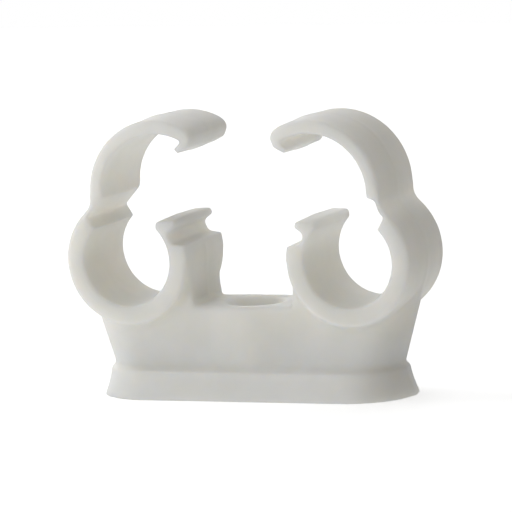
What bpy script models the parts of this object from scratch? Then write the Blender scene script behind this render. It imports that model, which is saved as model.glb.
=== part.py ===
"""Double pipe clip: one plastic moulding that holds two pipes side by side off a wall.

Two cradles stand on a waisted body with a flared foot. Each cradle has a curved arm on a thin
living hinge at its outer side and a grooved catch at its inner side. One countersunk hole takes
the fixing screw. The clip is shown open, as it leaves its mould.

Sizes are in millimetres and become metres when a mesh is made. X runs from pipe to pipe, Y along
the pipes and Z away from the wall. The origin is the middle of the face that lies on the wall.
"""

import math

import bmesh
import bpy
from mathutils import Vector

METRES = 0.001

# Pipes
PIPE_DIAMETER = 15.0
PIPE_SPACING = 40.0
PIPE_HEIGHT = 23.55  # from the wall to a pipe's centre

# Moulding
CLIP_DEPTH = 17.0
DRAFT = 0.2  # each profile shrinks this much from mid depth to its front and back faces
EDGE_ROUND = 0.3

# Cradle: angles are measured round the pipe's centre, from the outer side upwards
RING_WALL = 3.8
OUTER_LIP_ANGLE = 46.5
OUTER_LIP_TILT = 3.0  # how much higher that lip's end is beside the hinge
INNER_LIP_ANGLE = 135.5

# Catch: a head on the inner lip, over a groove across the lip's outer side
HEAD_ANGLE = 126.5
HEAD_RISE = 1.25  # the head's inner corner lies this far outside the bore
HEAD_ROUND = 1.0
NOSE_ANGLE = 142.0
NOSE_REACH = 0.3  # the nose stands out this far past the ring
NOSE_ROUND = 0.75
GROOVE_DEPTH = 2.1
GROOVE_TOP_ANGLE = 149.0
GROOVE_FLOOR_TOP_ANGLE = 150.5
GROOVE_FLOOR_FOOT_ANGLE = 159.5
GROOVE_FOOT_ANGLE = 165.5
GROOVE_ROUND = 0.5

# Living hinge
HINGE_THICKNESS = 1.5
HINGE_BEND = 3.0  # radius of the hollow outside the hinge
HINGE_INSET = 4.82  # the arm's outer side lies this far inside the ring's outermost point

# Arm
ARM_THICKNESS = 2.9
ARM_ROOM = 2.2  # between the pipe and the arm when the arm lies over it
ARM_LIFT = 0.85  # the arm's centre is this much higher than the hinge's
HEEL_DROP = 1.05  # the arm's inner end lies this far below the arm's centre
HEEL_SLANT = 0.35

# Hook: angles are measured round the arm's centre
HOOK_END_ANGLE = 126.5
HOOK_END_LEAN = 3.7
HOOK_ROUND = 1.8
HOOK_DEPTH = 2.05
HOOK_BEVEL = 2.1
HOOK_FOOT_ANGLE = 123.5
HOOK_POINT_ANGLE = 113.0
HOOK_POINT_RISE = 0.4
HOOK_UNDERCUT = 4.5
HOOK_END_CLEAR = 12.0  # the arm's arc stops this short of the hook's rounded end

# Body
BODY_SETBACK = 2.0  # its long sides lie this far behind the rings' faces
BODY_SPREAD = 0.3  # each side stands out this much more at the foot than at the pipes
BODY_TAPER = 17.2  # degrees that the ends lean out, so that they run into the rings
SADDLE_DROP = 7.7  # from the pipes' centres down to the flat top between the rings
SADDLE_ROUND = 1.0
BOSS_BULGE = 0.6
BOSS_SPREAD = 7.5

# Foot
FOOT_HEIGHT = 5.05
LEDGE_END = 0.55  # how far the foot's top stands out past the body's ends
LEDGE_SIDE = 1.95  # and past its long sides
FOOT_FLARE = 1.4
FOOT_CURVE = 1.5  # the flare's power law: 1 is straight, more is hollow
FOOT_EDGE = 0.4

# Screw hole
SCREW_HOLE = 4.6
SCREW_HEAD = 10.4

# Core: the recesses that keep the walls even, open to the wall
WALL = 2.0
CORE_ROOF = 2.2  # left under each ring
FOOT_ROOF = 1.9
CORE_DRAFT = 0.2
BOSS_WALL = 2.9
WEB = 2.0

# Joins
SINK = 0.15  # how far a face that would graze a ring lies inside it
CLEAR = 0.05  # how far a cutter's face that would graze the body lies outside it
OVERLAP = 1.0
WELD = 0.002  # points closer than this after a join become one

# Facets
RING_STEP = 4.0  # degrees
BEND_STEP = 12.0
HOLE_STEP = 10.0
ROUND_STEPS = 3
BOSS_STEPS = 5
FOOT_STEPS = 4
SHARP_ANGLE = 32.0

# Worked out from the above
BORE = PIPE_DIAMETER / 2
RING = BORE + RING_WALL
ARM_INSIDE = BORE + ARM_ROOM
ARM_REACH = ARM_INSIDE + ARM_THICKNESS
HALF_SPACING = PIPE_SPACING / 2
HALF_DEPTH = CLIP_DEPTH / 2
SADDLE = PIPE_HEIGHT - SADDLE_DROP
BODY_DEPTH = CLIP_DEPTH - 2 * BODY_SETBACK


def polar(centre, radius, degrees):
    """The point at an angle and radius round a centre."""
    angle = math.radians(degrees)
    return Vector((centre[0] + radius * math.cos(angle), centre[1] + radius * math.sin(angle)))


def arc(centre, radius, start, end, step=RING_STEP):
    """Points along an arc, its ends included. An end below the start runs clockwise."""
    count = max(2, round(abs(end - start) / step))
    return [polar(centre, radius, start + (end - start) * i / count) for i in range(count + 1)]


def turn(before, corner, after):
    """The unit directions into and out of a corner."""
    return (corner - before).normalized(), (after - corner).normalized()


def inset(corners, distance):
    """The closed outline of (point, round) moved inwards, its corners kept sharp."""
    moved = []
    for i, (corner, radius) in enumerate(corners):
        into, out = turn(corners[i - 1][0], corner, corners[(i + 1) % len(corners)][0])
        normal = Vector((-into.y - out.y, into.x + out.x)).normalized()
        along = normal.dot(Vector((-out.y, out.x)))
        convex = into.x * out.y - into.y * out.x > 0
        left = radius - distance if convex else radius + distance
        moved.append((corner + normal * distance / along, left if radius else 0.0))
    return moved


def rounded(corners):
    """The outline's points, each corner that has a round turned into an arc."""
    points = []
    for i, (corner, radius) in enumerate(corners):
        if not radius:
            points.append(corner)
            continue
        into, out = turn(corners[i - 1][0], corner, corners[(i + 1) % len(corners)][0])
        bend = into.angle_signed(out)
        reach = radius * math.tan(abs(bend) / 2)
        start = corner - into * reach
        side = Vector((-into.y, into.x)) if bend < 0 else Vector((into.y, -into.x))
        centre = start + side * radius
        first = math.degrees(math.atan2(start.y - centre.y, start.x - centre.x))
        points += arc(centre, radius, first, first - math.degrees(bend), abs(math.degrees(bend)) / ROUND_STEPS)
    return points


def clip_corners(solid_heel):
    """The outline of one cradle, its hinge and its arm, seen along the pipe, as (point, round).

    The pipe's centre is the origin, and the hinge is on the +X side.
    """
    pipe = Vector((0.0, 0.0))
    bend = Vector((RING - HINGE_INSET + HINGE_BEND, 0.0))
    bend.y = math.sqrt((RING + HINGE_BEND) ** 2 - bend.x**2)
    bend_angle = math.degrees(math.atan2(bend.y, bend.x))
    arm = Vector((RING - HINGE_INSET - ARM_REACH, bend.y + ARM_LIFT))
    hook_tip = ARM_INSIDE - HOOK_DEPTH
    groove = RING - GROOVE_DEPTH
    heel = arm.y - HEEL_DROP
    heel_angle = -math.degrees(math.asin(HEEL_DROP / ARM_INSIDE))
    hinge_inside = HINGE_BEND + HINGE_THICKNESS
    notch = math.radians(OUTER_LIP_ANGLE + OUTER_LIP_TILT)
    lip = Vector((math.cos(notch), math.sin(notch)))
    notch_reach = bend.dot(lip) - math.sqrt(hinge_inside**2 - bend.cross(lip) ** 2)
    notch_angle = math.degrees(math.atan2(lip.y * notch_reach - bend.y, lip.x * notch_reach - bend.x))
    step_angle = 180 + math.degrees(math.asin((bend.y - heel + HEEL_SLANT) / hinge_inside))

    plain = arc(pipe, RING, GROOVE_FOOT_ANGLE, 360 + bend_angle)
    plain += arc(bend, HINGE_BEND, 180 + bend_angle, 180, BEND_STEP)[1:]
    plain += arc(arm, ARM_REACH, 0, HOOK_END_ANGLE - HOOK_END_CLEAR)
    corners = [(point, 0.0) for point in plain]
    corners += [
        (polar(arm, ARM_REACH, HOOK_END_ANGLE), HOOK_ROUND),
        (polar(arm, hook_tip + HOOK_BEVEL, HOOK_END_ANGLE + HOOK_END_LEAN), 0.0),
        (polar(arm, hook_tip, HOOK_FOOT_ANGLE), 0.0),
        (polar(arm, hook_tip + HOOK_POINT_RISE, HOOK_POINT_ANGLE), 0.0),
    ]
    corners += [(point, 0.0) for point in arc(arm, ARM_INSIDE, HOOK_POINT_ANGLE + HOOK_UNDERCUT, heel_angle)]
    if not solid_heel:
        corners += [(point, 0.0) for point in arc(bend, hinge_inside, step_angle, 360 + notch_angle)[:-1]]
    corners.append((lip * notch_reach, 0.0))
    corners += [(point, 0.0) for point in arc(pipe, BORE, OUTER_LIP_ANGLE, INNER_LIP_ANGLE - 360)]
    corners += [
        (polar(pipe, BORE + HEAD_RISE, HEAD_ANGLE), HEAD_ROUND),
        (polar(pipe, RING + NOSE_REACH, NOSE_ANGLE), NOSE_ROUND),
        (polar(pipe, RING, GROOVE_TOP_ANGLE), NOSE_ROUND),
        (polar(pipe, groove, GROOVE_FLOOR_TOP_ANGLE), GROOVE_ROUND),
        (polar(pipe, groove, GROOVE_FLOOR_FOOT_ANGLE), GROOVE_ROUND),
    ]
    return corners


def solid(name, sections):
    """A closed mesh object from sections, each a list of as many points, joined in turn."""
    shape = bmesh.new()
    loops = [[shape.verts.new(Vector(point) * METRES) for point in section] for section in sections]
    count = len(loops[0])
    for lower, upper in zip(loops, loops[1:]):
        for i in range(count):
            shape.faces.new((lower[i], lower[(i + 1) % count], upper[(i + 1) % count], upper[i]))
    bmesh.ops.triangulate(shape, faces=shape.faces)
    shape.faces.new(list(reversed(loops[0])))
    shape.faces.new(loops[-1])
    bmesh.ops.recalc_face_normals(shape, faces=shape.faces)
    mesh = bpy.data.meshes.new(name)
    shape.to_mesh(mesh)
    shape.free()
    made = bpy.data.objects.new(name, mesh)
    bpy.context.scene.collection.objects.link(made)
    return made


def combine(target, tool, operation):
    """Join, cut or intersect the target with the tool, which is then removed."""
    boolean = target.modifiers.new(operation.title(), "BOOLEAN")
    boolean.operation = operation
    boolean.object = tool
    boolean.solver = "EXACT"
    graph = bpy.context.evaluated_depsgraph_get()
    mesh = bpy.data.meshes.new_from_object(target.evaluated_get(graph))
    target.modifiers.clear()
    shape = bmesh.new()
    shape.from_mesh(mesh)
    bmesh.ops.remove_doubles(shape, verts=shape.verts, dist=WELD * METRES)
    shape.to_mesh(mesh)
    shape.free()
    target.data = mesh
    bpy.data.objects.remove(tool)


def clip(name, side, solid_heel):
    """One cradle with its arm, drafted both ways from mid depth, on the +X (1) or -X (-1) side."""
    corners = clip_corners(solid_heel)
    levels = [
        (-HALF_DEPTH, DRAFT + EDGE_ROUND),
        (-HALF_DEPTH + EDGE_ROUND, DRAFT),
        (0.0, 0.0),
        (HALF_DEPTH - EDGE_ROUND, DRAFT),
        (HALF_DEPTH, DRAFT + EDGE_ROUND),
    ]
    sections = []
    for depth, shrink in levels:
        outline = rounded(inset(corners, shrink))
        sections.append([(side * (HALF_SPACING + p.x), depth, PIPE_HEIGHT + p.y) for p in outline])
    return solid(name, sections)


def oblong(length, depth, height, bulge=0.0):
    """A round-ended outline seen from above, its long sides swelling by the bulge at the middle."""
    radius = depth / 2
    end = length / 2 - radius
    side = arc((end, 0.0), radius, -90, 90)
    if bulge:
        for i in range(-BOSS_STEPS, BOSS_STEPS + 1):
            share = i / BOSS_STEPS
            side.append(Vector((-share * BOSS_SPREAD, radius + bulge * math.cos(share * math.pi / 2) ** 2)))
    return [(p.x, p.y, height) for p in side] + [(-p.x, -p.y, height) for p in side]


def body_length(height, ring_radius):
    """How long the body is at a height, its ends leaning out along a line that touches the rings."""
    lean = math.radians(BODY_TAPER)
    reach = (ring_radius + (height - PIPE_HEIGHT) * math.sin(lean)) / math.cos(lean)
    return PIPE_SPACING + 2 * reach


def body_depth(height):
    """How deep the body is at a height."""
    return BODY_DEPTH + 2 * BODY_SPREAD * (PIPE_HEIGHT - height) / (PIPE_HEIGHT - FOOT_HEIGHT)


def body():
    """The waisted body: its outline from above, trimmed to its outline from the front."""
    low = FOOT_HEIGHT - OVERLAP
    levels = [low, PIPE_HEIGHT]
    made = solid("body", [oblong(body_length(z, RING - SINK), body_depth(z), z, BOSS_BULGE) for z in levels])

    middle = BORE + RING_WALL / 2
    touch = -BODY_TAPER
    outside = polar((0.0, 0.0), RING, touch)
    cradle = arc((0.0, 0.0), middle, touch, -180)
    beyond = HALF_SPACING + RING + BODY_DEPTH
    half = [(beyond, low - OVERLAP), (beyond, PIPE_HEIGHT + outside.y)]
    half += [(HALF_SPACING + p.x, PIPE_HEIGHT + p.y) for p in cradle]
    front = half + [(-x, z) for x, z in reversed(half)]
    trim = solid("front outline", [[(x, y, z) for x, z in front] for y in (-CLIP_DEPTH, CLIP_DEPTH)])
    combine(made, trim, "INTERSECT")
    combine(made, saddle_cut(), "DIFFERENCE")
    return made


def saddle_cut():
    """What is cut away above the flat between the rings, with that flat's rounded long edges."""
    wall = HALF_SPACING - RING + DRAFT
    low = SADDLE - SADDLE_ROUND
    count = 2 * BOSS_STEPS
    sections = []
    for i in range(count + 1):
        x = wall * (2 * i / count - 1)
        swell = BOSS_BULGE * math.cos(min(1.0, abs(x) / BOSS_SPREAD) * math.pi / 2) ** 2
        edge = body_depth(SADDLE) / 2 + swell + CLEAR
        shoulder = arc((edge - SADDLE_ROUND, low), SADDLE_ROUND, 0, 90, 90 / ROUND_STEPS)
        right = [(CLIP_DEPTH, PIPE_HEIGHT + OVERLAP), (CLIP_DEPTH, low)]
        right += [(p.x, p.y) for p in shoulder]
        section = right + [(-y, z) for y, z in reversed(right)]
        sections.append([(x, y, z) for y, z in section])
    return solid("saddle cut", sections)


def foot_section(height, wall=0.0):
    """The flared foot seen from above, at a height and a wall's thickness inside its sides."""
    grow = 2 * (FOOT_FLARE * (1 - height / FOOT_HEIGHT) ** FOOT_CURVE - wall)
    length = body_length(FOOT_HEIGHT, RING) + 2 * LEDGE_END
    depth = body_depth(FOOT_HEIGHT) + 2 * LEDGE_SIDE
    return oblong(length + grow, depth + grow, height)


def foot():
    """The skirt that lies on the wall, its sides hollow as they flare, its top edge bevelled."""
    shoulder = FOOT_HEIGHT - FOOT_EDGE
    sides = [foot_section(shoulder * i / FOOT_STEPS) for i in range(FOOT_STEPS + 1)]
    top = [(x, y, FOOT_HEIGHT) for x, y, z in foot_section(shoulder, FOOT_EDGE)]
    return solid("foot", sides + [top])


def screw_cut():
    """The screw's hole and the cone that its head sinks into."""
    hole = SCREW_HOLE / 2
    cone = SCREW_HEAD / 2 - hole
    levels = [
        (-OVERLAP, hole),
        (SADDLE - cone, hole),
        (SADDLE + OVERLAP, hole + cone + OVERLAP),
    ]
    sections = []
    for height, radius in levels:
        circle = arc((0.0, 0.0), radius, 0, 360, HOLE_STEP)[:-1]
        sections.append([(p.x, p.y, height) for p in circle])
    return solid("screw cut", sections)


def core_cut():
    """The two recesses in the underside, either side of the screw's boss and its web."""
    foot_top = FOOT_HEIGHT - FOOT_ROOF
    body_top = PIPE_HEIGHT - RING - CORE_ROOF
    cut = solid("core cut", [foot_section(z, WALL) for z in (-OVERLAP, foot_top)])
    deep = []
    for z, draft in ((foot_top - OVERLAP, 0.0), (body_top, CORE_DRAFT)):
        less = 2 * (WALL + draft)
        deep.append(oblong(body_length(z, RING) - less, body_depth(z) - less, z))
    combine(cut, solid("deep core", deep), "UNION")

    boss = SCREW_HOLE / 2 + BOSS_WALL
    circle = arc((0.0, 0.0), boss, 0, 360, HOLE_STEP)[:-1]
    levels = (-2 * OVERLAP, PIPE_HEIGHT)
    combine(cut, solid("boss", [[(p.x, p.y, z) for p in circle] for z in levels]), "DIFFERENCE")
    x, y = WEB / 2, 2 * CLIP_DEPTH
    plate = [(x, y), (-x, y), (-x, -y), (x, -y)]
    combine(cut, solid("web", [[(px, py, z) for px, py in plate] for z in levels]), "DIFFERENCE")
    return cut


def plastic():
    """White moulded plastic with a satin face."""
    made = bpy.data.materials.new("white plastic")
    made.use_nodes = True
    shader = made.node_tree.nodes["Principled BSDF"]
    shader.inputs["Base Color"].default_value = (0.80, 0.80, 0.77, 1.0)
    shader.inputs["Roughness"].default_value = 0.42
    shader.inputs["Metallic"].default_value = 0.0
    return made


def build():
    """The whole moulding, as one object."""
    moulding = body()
    combine(moulding, foot(), "UNION")
    combine(moulding, clip("right clip", 1, solid_heel=False), "UNION")
    combine(moulding, clip("left clip", -1, solid_heel=True), "UNION")
    combine(moulding, core_cut(), "DIFFERENCE")
    combine(moulding, screw_cut(), "DIFFERENCE")
    moulding.name = "pipe_clip"
    moulding.data.name = "pipe_clip"
    moulding.data.materials.clear()
    moulding.data.materials.append(plastic())
    moulding.data.shade_smooth()
    moulding.data.set_sharp_from_angle(angle=math.radians(SHARP_ANGLE))


for old in list(bpy.data.objects):
    bpy.data.objects.remove(old)
build()
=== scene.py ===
"""The looks of a double pipe clip: one soft-edged moulding in satin white plastic, on a pale floor.

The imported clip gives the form. This script rebuilds its surface finely enough to round the edges
and fillet the joins, adds the mould's parting line, and sets the plastic, the light and the camera.
Lengths are in millimetres, and MM turns them into the scene's metres.
"""

import math

import bmesh
import bpy
import numpy as np
from mathutils import Matrix, Vector


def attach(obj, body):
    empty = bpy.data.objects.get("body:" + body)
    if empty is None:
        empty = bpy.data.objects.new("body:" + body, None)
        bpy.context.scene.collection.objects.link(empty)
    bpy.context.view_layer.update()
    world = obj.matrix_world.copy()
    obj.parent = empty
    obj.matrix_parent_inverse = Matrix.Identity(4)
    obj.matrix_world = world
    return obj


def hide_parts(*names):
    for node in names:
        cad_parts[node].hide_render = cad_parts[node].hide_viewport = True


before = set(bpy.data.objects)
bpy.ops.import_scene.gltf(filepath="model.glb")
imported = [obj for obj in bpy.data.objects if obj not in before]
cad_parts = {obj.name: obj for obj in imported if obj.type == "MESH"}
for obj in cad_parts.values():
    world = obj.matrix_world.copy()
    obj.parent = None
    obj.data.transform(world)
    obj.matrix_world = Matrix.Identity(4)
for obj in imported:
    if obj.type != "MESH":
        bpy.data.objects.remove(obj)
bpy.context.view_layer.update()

MM = 0.001
NODE = "pipe_clip"

# Form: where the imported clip's corners and edges are
PIPE_SPACING = 40.0
PIPE_HEIGHT = 23.55
HALF_DEPTH = 8.5  # of the rings that hold the pipes, and of their arms
RING_RADIUS = 11.3  # of the outside, as is the arm's
ARM_RADIUS = 12.6
ARM_CENTRE = (13.9, 35.1)  # across the pipes, and up from the wall
BODY_HALF_DEPTH = 6.65  # halfway from the pipes to the foot
BODY_HALF_LENGTH = 26.1  # near the foot's ledge
FOOT_HEIGHT = 5.05
INNER_WALL = 8.9  # from the middle to the wall beside the saddle, at the front and back
SADDLE = 15.85  # the height of the flat between the rings
SCREW_HEAD_RADIUS = 5.2

# Surface: an even fine mesh, smoothed in passes
VOXEL = 0.2
WELD = VOXEL / 100
SOFTENING = 0.5  # how far a pass draws a point towards its neighbours' middle
EDGE_PASSES = 8  # over the whole surface
FILLET_PASSES = 180  # over the joins alone
TRIANGLES = 150000

# Fillets: how far each one reaches from its corner or edge
RING_FILLET = 1.9  # between a ring's outside and the body
RING_FILLET_TOP = 0.22  # it starts this far below the pipe's centre, as a share of the ring's radius
RING_FILLET_FADE = 0.2  # and is whole this much lower
LEDGE_FILLET = 2.2  # between the body and the foot's ledge, less round the ends
WALL_FILLET = 0.6  # between the saddle and the wall beside it
RIM_ROUNDING = 1.6  # at the edge of the countersink
OUTER_ROUNDING = 1.3  # at the outer edges of rings and arms
OUTER_SOFTNESS = 0.3  # the share of a fillet's strength that those edges get

# Parting line: a low soft ridge at mid depth
PARTING_WIDTH = 2.4
PARTING_HEIGHT = 0.07
PARTING_STRIPS = 8  # how many the ridge's width is divided into
PARTING_WELD = 0.04  # points that the cuts leave closer than this become one
SLIVER = PARTING_WELD / 2  # triangles thinner than this are dissolved
OUTSIDE_WALL = 1.8  # what lies deeper than this in a ring or an arm is no outside face
FACE_TILT = 0.3  # a normal with more of depth in it is a front or back face's

# Resting face: it faces down, lies lower than this and clears the floor by a hair
RESTING_TILT = -0.5
RESTING_HEIGHT = 1.0
RESTING_GAP = 0.001

# Plastic
SHADES = ((0.78, 0.78, 0.745, 1.0), (0.832, 0.825, 0.8, 1.0))
SHADE_STOPS = (0.3, 0.7)  # the levels of the flow's noise at which those shades are reached
ROUGHNESS = (0.50, 0.62)
FLOW_SCALE = 130.0  # the noise's cells in a metre, as is the grain's
FLOW_DETAIL = 3.0
GRAIN_SCALE = 2600.0
GRAIN_DETAIL = 2.0
GRAIN_STRENGTH = 0.25
GRAIN_HEIGHT = 0.02
SCATTER_REACH = 6.5  # how deep light goes
SCATTER_SHARES = (1.0, 0.9, 0.75)  # of that depth, for red, green and blue
SCATTER_FORWARD = 0.7  # it mostly goes on the way it came
REFRACTION = 1.49
SPECULAR = 0.4

# Camera: where it stands, as the photograph shows the clip
CAMERA_AZIMUTH = 22.70
CAMERA_ELEVATION = 8.19
CAMERA_ROLL = -2.989
CAMERA_DISTANCE = 810.3
CAMERA_RANGE = (50.0, 10000.0)
FOCAL_PIXELS = 4802.0
FRAME_PIXELS = 512
SHIFT_PIXELS = (-1.629, -1.563)
SENSOR = 36.0

# Lamps: each one's direction from the clip, its power in watts and its colour
NEUTRAL = (1.0, 1.0, 1.0)
WARM = (1.0, 0.94, 0.82)
LAMP_SIZE = 450.0
LAMP_DISTANCE = 700.0
LAMPS = {
    "key": ((-0.59, -0.81, 0.05), 2.3, NEUTRAL),
    "fill": ((0.386, -0.92, 0.15), 0.63, WARM),
    "rim": ((-0.70, 0.70, 0.30), 0.9, NEUTRAL),
    "side": ((-0.70, 0.0, 0.70), 1.6, NEUTRAL),
    "above": ((0.0, 0.0, 1.0), 0.65, NEUTRAL),
    "far": ((0.0, 0.60, 0.80), 1.0, NEUTRAL),
}

# Surroundings
WHITE = (1.0, 1.0, 1.0, 1.0)
WORLD_LIGHT = 0.0  # the lamps and the floor give all the light, and the world is only seen
FLOOR_REACH = 600.0  # from the middle to each side
FLOOR_COLOUR = (0.8, 0.8, 0.8, 1.0)
FLOOR_ROUGHNESS = 0.9
FLOOR_GLOW = 0.25  # the light it gives off, as a brightly lit studio floor does
FLOOR_SEEN = 0.35  # how much brighter it is seen, so that it reads white beyond the shadow


def object_from(name, data):
    """A new object with that mesh, lamp or lens, in the scene."""
    made = bpy.data.objects.new(name, data)
    bpy.context.scene.collection.objects.link(made)
    return made


def bake_modifiers(piece):
    """Turn the piece's modifiers into its mesh."""
    graph = bpy.context.evaluated_depsgraph_get()
    mesh = bpy.data.meshes.new_from_object(piece.evaluated_get(graph))
    piece.modifiers.clear()
    piece.data = mesh


def fine_surface(source):
    """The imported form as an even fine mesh, in millimetres."""
    mesh = source.data.copy()
    mesh.transform(Matrix.Scale(1 / MM, 4))
    piece = object_from("clip_moulding", mesh)
    weld = piece.modifiers.new("weld", "WELD")
    weld.merge_threshold = WELD
    remesh = piece.modifiers.new("remesh", "REMESH")
    remesh.mode = "VOXEL"
    remesh.voxel_size = VOXEL
    bake_modifiers(piece)
    return piece


def mirrored(points):
    """The points' x, y and z, with x and y made positive, since the two sides are alike."""
    return np.abs(points[:, 0]), np.abs(points[:, 1]), points[:, 2]


def from_centres(x, z):
    """How far points are from the middle of their ring, and from the middle of their arm's curve."""
    from_axis = np.hypot(x - PIPE_SPACING / 2, z - PIPE_HEIGHT)
    from_arm = np.hypot(x - ARM_CENTRE[0], z - ARM_CENTRE[1])
    return from_axis, from_arm


def nearness(distance, reach):
    """1 at no distance, and 0 at the reach and beyond."""
    return np.clip(1 - distance / reach, 0, 1)


def fillet_weights(points):
    """How strongly each point is drawn into a fillet: 1 in the corner, 0 at the fillet's reach."""
    x, y, z = mirrored(points)
    from_axis, from_arm = from_centres(x, z)

    from_ring = np.hypot(from_axis - RING_RADIUS, y - BODY_HALF_DEPTH)
    drop = (PIPE_HEIGHT - z) / RING_RADIUS
    fade = np.clip((drop - RING_FILLET_TOP) / RING_FILLET_FADE, 0, 1)
    ring = nearness(from_ring, RING_FILLET) * fade

    # The ledge's is whole to half its reach, and fades out round the body's ends
    end = np.maximum(x - (BODY_HALF_LENGTH - BODY_HALF_DEPTH), 0)
    from_body = np.hypot(end, y) - BODY_HALF_DEPTH
    ledge = np.clip(2 - 2 * np.hypot(from_body, z - FOOT_HEIGHT) / LEDGE_FILLET, 0, 1)
    ledge *= nearness(end, BODY_HALF_DEPTH)

    wall = nearness(np.hypot(x - INNER_WALL, z - SADDLE), WALL_FILLET)
    rim = nearness(np.hypot(np.hypot(x, y) - SCREW_HEAD_RADIUS, z - SADDLE), RIM_ROUNDING)

    # The catches keep their crisp edges
    on_arm = z > ARM_CENTRE[1]
    inside = np.where(on_arm, ARM_RADIUS - from_arm, RING_RADIUS - from_axis)
    on_catch = ~on_arm & (z > PIPE_HEIGHT) & (x < PIPE_SPACING / 2)
    outer = nearness(np.hypot(inside, y - HALF_DEPTH), OUTER_ROUNDING) * OUTER_SOFTNESS
    return np.max([ring, ledge, wall, rim, np.where(on_catch, 0, outer)], axis=0)


def soften(piece):
    """Round the edges, and fillet the joins more."""
    edges = piece.modifiers.new("edges", "SMOOTH")
    edges.factor = SOFTENING
    edges.iterations = EDGE_PASSES
    points = np.empty(len(piece.data.vertices) * 3)
    piece.data.vertices.foreach_get("co", points)
    weights = fillet_weights(points.reshape(-1, 3))
    joins = piece.vertex_groups.new(name="joins")
    for i in np.flatnonzero(weights).tolist():
        joins.add([i], weights[i], "REPLACE")
    fillets = piece.modifiers.new("fillets", "SMOOTH")
    fillets.factor = SOFTENING
    fillets.iterations = FILLET_PASSES
    fillets.vertex_group = joins.name
    bake_modifiers(piece)
    piece.vertex_groups.clear()


def thin_out(piece):
    """Fewer triangles where the surface is flat."""
    count = sum(len(polygon.vertices) - 2 for polygon in piece.data.polygons)
    decimate = piece.modifiers.new("decimate", "DECIMATE")
    decimate.ratio = min(1.0, TRIANGLES / count)
    bake_modifiers(piece)
    print("moulding", count, "triangles, then", len(piece.data.polygons))


def cut_strips(shape):
    """Divide the surface round mid depth into strips, and leave no sliver beside the cuts."""
    for i in range(PARTING_STRIPS + 1):
        everything = shape.verts[:] + shape.edges[:] + shape.faces[:]
        place = (0, (i / PARTING_STRIPS - 0.5) * PARTING_WIDTH, 0)
        bmesh.ops.bisect_plane(shape, geom=everything, plane_co=place, plane_no=(0, 1, 0))
    bmesh.ops.remove_doubles(shape, verts=shape.verts, dist=PARTING_WELD)
    bmesh.ops.triangulate(shape, faces=shape.faces)
    bmesh.ops.dissolve_degenerate(shape, edges=shape.edges, dist=SLIVER)
    bmesh.ops.triangulate(shape, faces=shape.faces)
    shape.normal_update()


def ridge_shares(points, normals):
    """How much of the ridge's height each point gets: 1 on the line, 0 beside it and inside."""
    x, y, z = mirrored(points)
    from_axis, from_arm = from_centres(x, z)
    hump = np.cos(np.minimum(1, 2 * y / PARTING_WIDTH) * math.pi / 2) ** 2
    within = (from_axis < RING_RADIUS - OUTSIDE_WALL) | (from_arm < ARM_RADIUS - OUTSIDE_WALL)
    front_or_back = np.abs(normals[:, 1]) > FACE_TILT
    return np.where(within | front_or_back, 0, hump)


def parting_line(piece):
    """Where the mould's halves met: all but the ridge sinks by its height, so that nothing grows."""
    shape = bmesh.new()
    shape.from_mesh(piece.data)
    cut_strips(shape)
    points = np.array([vertex.co for vertex in shape.verts])
    normals = np.array([vertex.normal for vertex in shape.verts])
    sinking = PARTING_HEIGHT * (1 - ridge_shares(points, normals))
    resting = (normals[:, 2] < RESTING_TILT) & (points[:, 2] < RESTING_HEIGHT)
    sinking[resting] = RESTING_GAP
    for vertex, depth in zip(shape.verts, sinking.tolist()):
        vertex.co -= vertex.normal * depth
    shape.to_mesh(piece.data)
    shape.free()


def node(tree, kind, **settings):
    """A shader node with its settings."""
    made = tree.nodes.new(kind)
    for name, value in settings.items():
        setattr(made, name, value)
    return made


def noise(tree, where, scale, detail):
    """A noise that stays put on the object."""
    made = node(tree, "ShaderNodeTexNoise")
    made.inputs["Scale"].default_value = scale
    made.inputs["Detail"].default_value = detail
    tree.links.new(where.outputs["Object"], made.inputs["Vector"])
    return made


def plastic():
    """Satin white moulded plastic: a soft grain, and faint flow in its shade and gloss."""
    made = bpy.data.materials.new("white_plastic")
    made.use_nodes = True
    tree = made.node_tree
    shader = tree.nodes["Principled BSDF"]
    where = node(tree, "ShaderNodeTexCoord")

    flow = noise(tree, where, FLOW_SCALE, FLOW_DETAIL)
    shade = node(tree, "ShaderNodeValToRGB")
    for stop, place, colour in zip(shade.color_ramp.elements, SHADE_STOPS, SHADES):
        stop.position = place
        stop.color = colour
    tree.links.new(flow.outputs["Fac"], shade.inputs["Fac"])
    tree.links.new(shade.outputs["Color"], shader.inputs["Base Color"])

    gloss = node(tree, "ShaderNodeMapRange")
    gloss.inputs["To Min"].default_value = ROUGHNESS[0]
    gloss.inputs["To Max"].default_value = ROUGHNESS[1]
    tree.links.new(flow.outputs["Fac"], gloss.inputs["Value"])
    tree.links.new(gloss.outputs["Result"], shader.inputs["Roughness"])

    grain = noise(tree, where, GRAIN_SCALE, GRAIN_DETAIL)
    bump = node(tree, "ShaderNodeBump")
    bump.inputs["Strength"].default_value = GRAIN_STRENGTH
    bump.inputs["Distance"].default_value = GRAIN_HEIGHT * MM
    tree.links.new(grain.outputs["Fac"], bump.inputs["Height"])
    tree.links.new(bump.outputs["Normal"], shader.inputs["Normal"])

    shader.inputs["Subsurface Weight"].default_value = 1.0
    shader.inputs["Subsurface Radius"].default_value = SCATTER_SHARES
    shader.inputs["Subsurface Scale"].default_value = SCATTER_REACH * MM
    shader.inputs["Subsurface Anisotropy"].default_value = SCATTER_FORWARD
    shader.inputs["IOR"].default_value = REFRACTION
    shader.inputs["Specular IOR Level"].default_value = SPECULAR
    return made


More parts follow.
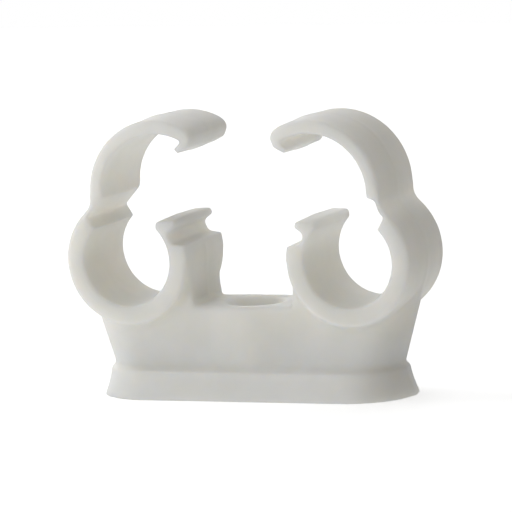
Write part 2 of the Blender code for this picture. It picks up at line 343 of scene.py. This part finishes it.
def seeing_rays(tree):
    """A node that gives 1 for camera rays, mirrored ones and those through glass, and else 0."""
    rays = node(tree, "ShaderNodeLightPath")
    either = node(tree, "ShaderNodeMath", operation="MAXIMUM")
    tree.links.new(rays.outputs["Is Camera Ray"], either.inputs[0])
    tree.links.new(rays.outputs["Is Glossy Ray"], either.inputs[1])
    any_ray = node(tree, "ShaderNodeMath", operation="MAXIMUM")
    tree.links.new(either.outputs[0], any_ray.inputs[0])
    tree.links.new(rays.outputs["Is Transmission Ray"], any_ray.inputs[1])
    return any_ray


def add_backdrop(strength):
    """A world that is seen as white, and lights the clip with that strength."""
    world = bpy.data.worlds.new("studio")
    world.use_nodes = True
    tree = world.node_tree
    light = tree.nodes["Background"]
    light.inputs["Color"].default_value = WHITE
    light.inputs["Strength"].default_value = strength
    white = node(tree, "ShaderNodeBackground")
    white.inputs["Color"].default_value = WHITE
    white.inputs["Strength"].default_value = 1.0
    mix = node(tree, "ShaderNodeMixShader")
    tree.links.new(seeing_rays(tree).outputs[0], mix.inputs["Fac"])
    tree.links.new(light.outputs[0], mix.inputs[1])
    tree.links.new(white.outputs[0], mix.inputs[2])
    tree.links.new(mix.outputs[0], tree.nodes["World Output"].inputs["Surface"])
    bpy.context.scene.world = world


def paper():
    """Matt pale paper that glows a little, and is seen a little brighter than it glows."""
    made = bpy.data.materials.new("floor_paper")
    made.use_nodes = True
    tree = made.node_tree
    matt = tree.nodes["Principled BSDF"]
    matt.inputs["Base Color"].default_value = FLOOR_COLOUR
    matt.inputs["Roughness"].default_value = FLOOR_ROUGHNESS
    glow = node(tree, "ShaderNodeEmission")
    seen = node(tree, "ShaderNodeMath", operation="MULTIPLY_ADD")
    tree.links.new(seeing_rays(tree).outputs[0], seen.inputs[0])
    seen.inputs[1].default_value = FLOOR_SEEN
    seen.inputs[2].default_value = FLOOR_GLOW
    tree.links.new(seen.outputs[0], glow.inputs["Strength"])
    both = node(tree, "ShaderNodeAddShader")
    tree.links.new(matt.outputs[0], both.inputs[0])
    tree.links.new(glow.outputs[0], both.inputs[1])
    tree.links.new(both.outputs[0], tree.nodes["Material Output"].inputs["Surface"])
    return made


def add_floor():
    """A pale floor that reads white and keeps the clip's soft shadow."""
    bpy.ops.mesh.primitive_plane_add(size=2 * FLOOR_REACH * MM, location=(0, 0, 0))
    made = bpy.context.object
    made.name = "floor"
    made.data.materials.append(paper())


def add_lamp(name, direction, power, colour):
    """A square soft light that faces the clip's middle."""
    light = bpy.data.lights.new(name, "AREA")
    light.shape = "SQUARE"
    light.size = LAMP_SIZE * MM
    light.energy = power
    light.color = colour
    made = object_from(name, light)
    aim = Vector(direction).normalized()
    made.location = (aim * LAMP_DISTANCE + Vector((0, 0, PIPE_HEIGHT))) * MM
    made.rotation_euler = aim.to_track_quat("Z", "Y").to_euler()


def add_camera():
    """The photograph's viewpoint: the camera looks at the clip's middle, at the pipes' height."""
    azimuth = math.radians(CAMERA_AZIMUTH)
    elevation = math.radians(CAMERA_ELEVATION)
    back = Vector((
        math.sin(azimuth) * math.cos(elevation),
        -math.cos(azimuth) * math.cos(elevation),
        math.sin(elevation),
    ))
    right = Vector((0, 0, 1)).cross(back).normalized()
    level = Matrix((right, back.cross(right), back)).transposed().to_4x4()
    lens = bpy.data.cameras.new("camera")
    lens.sensor_width = SENSOR
    lens.lens = FOCAL_PIXELS * SENSOR / FRAME_PIXELS
    lens.shift_x = -SHIFT_PIXELS[0] / FRAME_PIXELS
    lens.shift_y = SHIFT_PIXELS[1] / FRAME_PIXELS
    lens.clip_start = CAMERA_RANGE[0] * MM
    lens.clip_end = CAMERA_RANGE[1] * MM
    made = object_from("camera", lens)
    place = Matrix.Translation((back * CAMERA_DISTANCE + Vector((0, 0, PIPE_HEIGHT))) * MM)
    made.matrix_world = place @ level @ Matrix.Rotation(math.radians(CAMERA_ROLL), 4, "Z")
    bpy.context.scene.camera = made


moulding = fine_surface(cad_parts[NODE])
soften(moulding)
thin_out(moulding)
parting_line(moulding)
moulding.data.transform(Matrix.Scale(MM, 4))
moulding.data.shade_smooth()
moulding.data.materials.clear()
moulding.data.materials.append(plastic())
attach(moulding, "root")
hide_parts(NODE)

add_floor()
add_backdrop(WORLD_LIGHT)
for lamp_name, (direction, power, colour) in LAMPS.items():
    add_lamp(lamp_name, direction, power, colour)
add_camera()
bpy.context.scene.view_settings.view_transform = "Standard"
